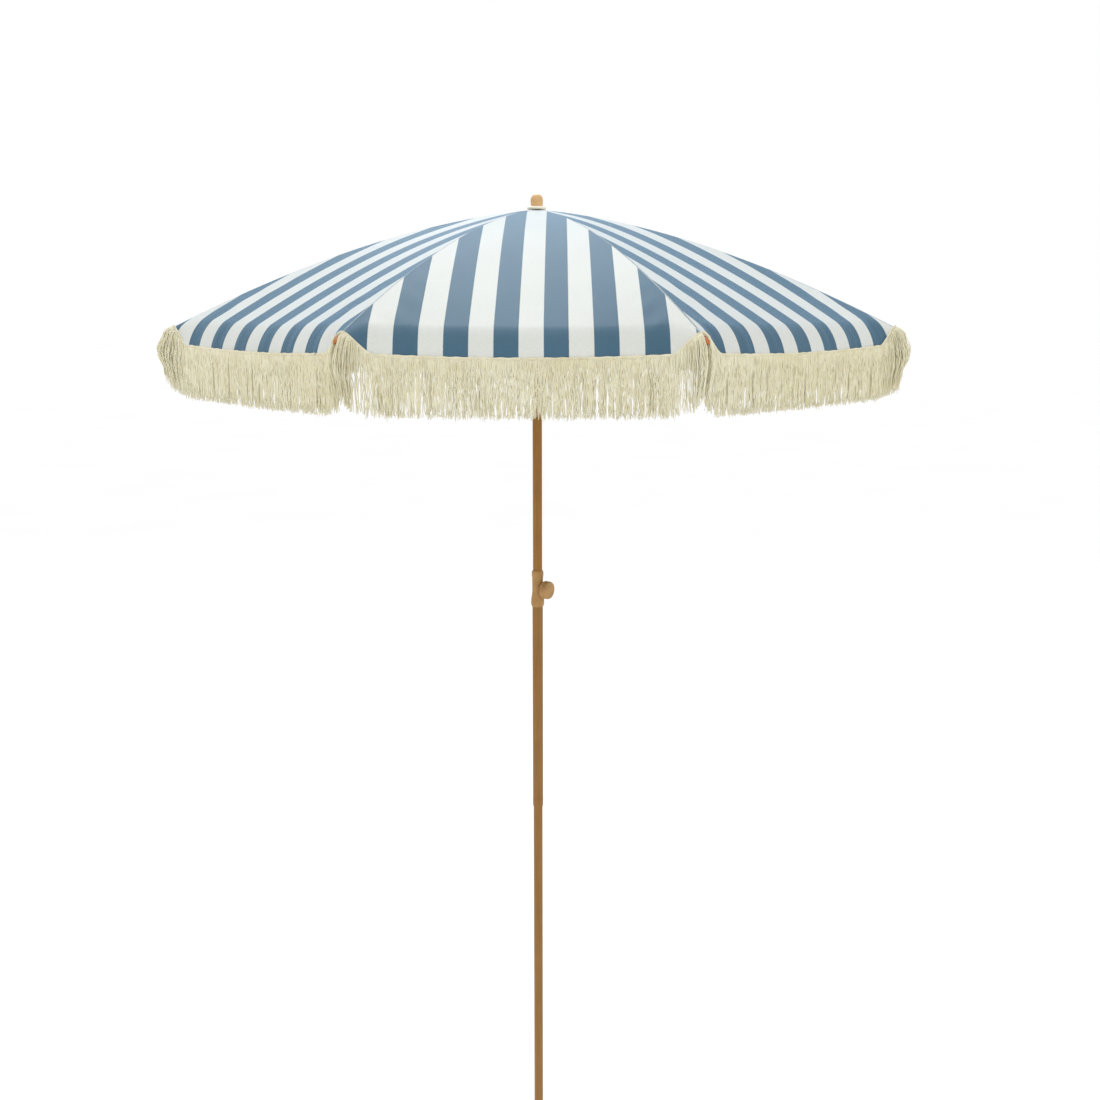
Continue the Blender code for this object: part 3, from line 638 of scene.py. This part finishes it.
def build_braid(index, material):
    """The woven header that holds the fringe, laid over the hem and arched over the rib end."""
    near = np.linspace(0.0, BRAID_CORNER, 41)
    fine = np.concatenate([near, np.linspace(BRAID_CORNER, HALF_HEM, 61)[1:]])
    signed = np.concatenate([-fine[::-1], fine[1:]])
    side = np.where(signed < 0, -1.0, 1.0)
    width = np.abs(signed)
    hem = rim_points(width, side, 1.0)
    face = hem_facing(width, side)
    bulge = 1.0 + 0.10 * np.sin(signed * 900.0)
    ring = np.linspace(0.0, 2.0 * math.pi, 13)[:-1]
    up = np.sign(np.sin(ring)) * np.abs(np.sin(ring)) ** 0.6 * BRAID_HALF
    out = np.sign(np.cos(ring)) * np.abs(np.cos(ring)) ** 0.8 * BRAID_THICK + BRAID_THICK + 0.0002
    lift = 0.0010 * np.sin(signed * 210.0 + index) * 0.5
    points = hem[:, None, :] + face[:, None, :] * (out[None, :, None] * bulge[:, None, None])
    points[..., 2] += up[None, :] + lift[:, None]
    rows, sides = points.shape[:2]
    vertices = turned(points, rib_azimuth(index)).reshape(-1, 3)
    row, place = np.meshgrid(np.arange(rows - 1), np.arange(sides), indexing="ij")
    this = row * sides + place
    following = row * sides + (place + 1) % sides
    corners = [this, following, following + sides, this + sides]
    faces = np.stack(corners, -1).reshape(-1, 4).tolist()
    faces.append(list(range(sides))[::-1])
    faces.append([(rows - 1) * sides + k for k in range(sides)])
    obj = mesh_object(f"fringe_braid_{index + 1}", vertices, faces, material)
    uv = np.stack(np.broadcast_arrays(ring[None, :] / (2 * math.pi), signed[:, None]), -1)
    add_uv(obj, "yarn", uv.reshape(-1, 2))
    return obj


# ---------------------------------------------------------------- hardware
EDGE_BEVEL = 0.0003


def refine_cad(name, material):
    """Keep a CAD node's shape, with softened edges and its own finish."""
    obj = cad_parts[name]
    obj.data.materials.clear()
    obj.data.materials.append(material)
    obj.data.polygons.foreach_set("use_smooth", [True] * len(obj.data.polygons))
    weld = obj.modifiers.new("weld", "WELD")
    weld.merge_threshold = 0.00001
    edge = obj.modifiers.new("edge", "BEVEL")
    edge.width = EDGE_BEVEL
    edge.segments = 2
    edge.limit_method = "ANGLE"
    edge.angle_limit = math.radians(40.0)
    edge.harden_normals = False
    even = obj.modifiers.new("even", "WEIGHTED_NORMAL")
    even.keep_sharp = True
    return obj


# ---------------------------------------------------------------- build
def linear(red, green, blue):
    """Linear colour from an everyday 0 to 255 one."""
    out = []
    for value in (red, green, blue):
        share = value / 255.0
        out.append(share / 12.92 if share <= 0.04045 else ((share + 0.055) / 1.055) ** 2.4)
    return tuple(out)


CANOPY = canopy_material()
FRINGE = cotton_material("fringe_cotton", linear(230, 223, 187), linear(242, 238, 211), 6.28)
BRAID = cotton_material("braid_cotton", linear(214, 206, 172), linear(232, 226, 200), 12.6)
TAN = pole_material("pole_tan", linear(146, 102, 48), linear(162, 116, 58), 0.45, 210.0)
DARK_TAN = pole_material("pole_tan_dark", linear(140, 101, 53), linear(154, 113, 62), 0.45, 210.0)
FITTING = moulded_material("fitting_tan", linear(164, 123, 70), linear(182, 140, 84), 0.5)
CAP = moulded_material("finial_tan", linear(210, 166, 112), linear(228, 184, 130), 0.38)
ORANGE = moulded_material("tip_orange", linear(176, 98, 42), linear(200, 120, 58), 0.42)
CREAM = moulded_material("cream_plastic", linear(242, 234, 212), linear(252, 246, 228), 0.5)
WHITE_STEEL = moulded_material("steel_white", linear(222, 222, 219), linear(236, 236, 232), 0.38, 700.0)
WIRE = moulded_material("wire_steel", linear(150, 150, 150), linear(176, 176, 175), 0.32, 1200.0, 1.0)

FINISHES = {
    "upper_pole": (TAN, "pole_tan"),
    "middle_pole": (DARK_TAN, "pole_tan"),
    "lower_pole": (DARK_TAN, "pole_tan"),
    "pole_ferrule": (DARK_TAN, "fitting_tan"),
    "pole_spike": (DARK_TAN, "fitting_tan"),
    "clamp_collar": (FITTING, "fitting_tan"),
    "clamp_knob": (FITTING, "fitting_tan"),
    "clamp_screw": (WIRE, "wire_steel"),
    "crown_hub": (FITTING, "fitting_tan"),
    "crown_wire": (WIRE, "wire_steel"),
    "runner": (FITTING, "fitting_tan"),
    "runner_wire": (WIRE, "wire_steel"),
    "runner_button": (CREAM, "cream_plastic"),
    "cap_washer": (CREAM, "cream_plastic"),
    "finial": (CAP, "fitting_tan"),
}
for rib_number in range(1, 9):
    FINISHES[f"rib_{rib_number}"] = (WHITE_STEEL, "steel_white")
    FINISHES[f"stretcher_{rib_number}"] = (WHITE_STEEL, "steel_white")
    FINISHES[f"rib_tip_{rib_number}"] = (ORANGE, "tip_orange")
for node_name, (finish, slot_name) in FINISHES.items():
    refine_cad(node_name, finish)

for number in range(8):
    body = f"rib_{number + 1}"
    gore = build_gore(number, CANOPY)
    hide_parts(f"canopy_gore_{number + 1}")
    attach(gore, body)
    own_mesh(gore)
    braid = build_braid(number, BRAID)
    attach(braid, body)
    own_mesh(braid)
    hang = f"fringe_{number + 1}"
    for side in (-1.0, 1.0):
        yarn = build_fringe(number, side, FRINGE)
        if side > 0:
            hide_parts(f"fringe_{number + 1}")
        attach(yarn, hang)
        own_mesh(yarn)


# ---------------------------------------------------------------- room, light and camera
def area_light(name, place, target, size, power):
    data = bpy.data.lights.new(name, "AREA")
    data.shape = "DISK"
    data.size = size
    data.energy = power
    lamp = bpy.data.objects.new(name, data)
    lamp.location = place
    lamp.rotation_euler = (Vector(place) - Vector(target)).to_track_quat("Z", "Y").to_euler()
    bpy.context.scene.collection.objects.link(lamp)


def make_floor():
    made, tree, shader = shader_material("floor")
    place = tree.nodes.new("ShaderNodeTexCoord").outputs["Object"]
    tone = ramp(tree, noise(tree, place, 0.8, 2.0), 0.3, 0.7)
    colour = mix_colour(tree, tone, (0.93, 0.93, 0.93), (0.95, 0.95, 0.95))
    tree.links.new(colour, shader.inputs["Base Color"])
    shader.inputs["Emission Color"].default_value = (1.0, 1.0, 1.0, 1.0)
    shader.inputs["Emission Strength"].default_value = 0.06
    shader.inputs["Roughness"].default_value = 0.9
    shader.inputs["Specular IOR Level"].default_value = 0.1
    half = 60.0
    corners = [(-half, -half, 0.0), (half, -half, 0.0), (half, half, 0.0), (-half, half, 0.0)]
    mesh_object("floor", corners, [(0, 1, 2, 3)], made, smooth=False)


make_floor()
world = bpy.data.worlds.new("studio")
world.use_nodes = True
world.node_tree.nodes["Background"].inputs["Color"].default_value = (1.0, 1.0, 1.0, 1.0)
world.node_tree.nodes["Background"].inputs["Strength"].default_value = 1.0
bpy.context.scene.world = world
area_light("key", (-0.6, 2.6, 5.9), (0.0, 0.0, 2.4), 2.4, 90.0)
bpy.context.scene.view_settings.view_transform = "Standard"

camera_data = bpy.data.cameras.new("camera")
camera_data.lens = 38.85
camera_data.sensor_width = 36.0
camera_data.clip_end = 400.0
camera = bpy.data.objects.new("camera", camera_data)
camera.location = (0.1133, -3.134, 2.468)
camera.rotation_euler = (math.radians(90.0 - 12.056), 0.0, math.radians(1.456))
bpy.context.scene.collection.objects.link(camera)
bpy.context.scene.camera = camera
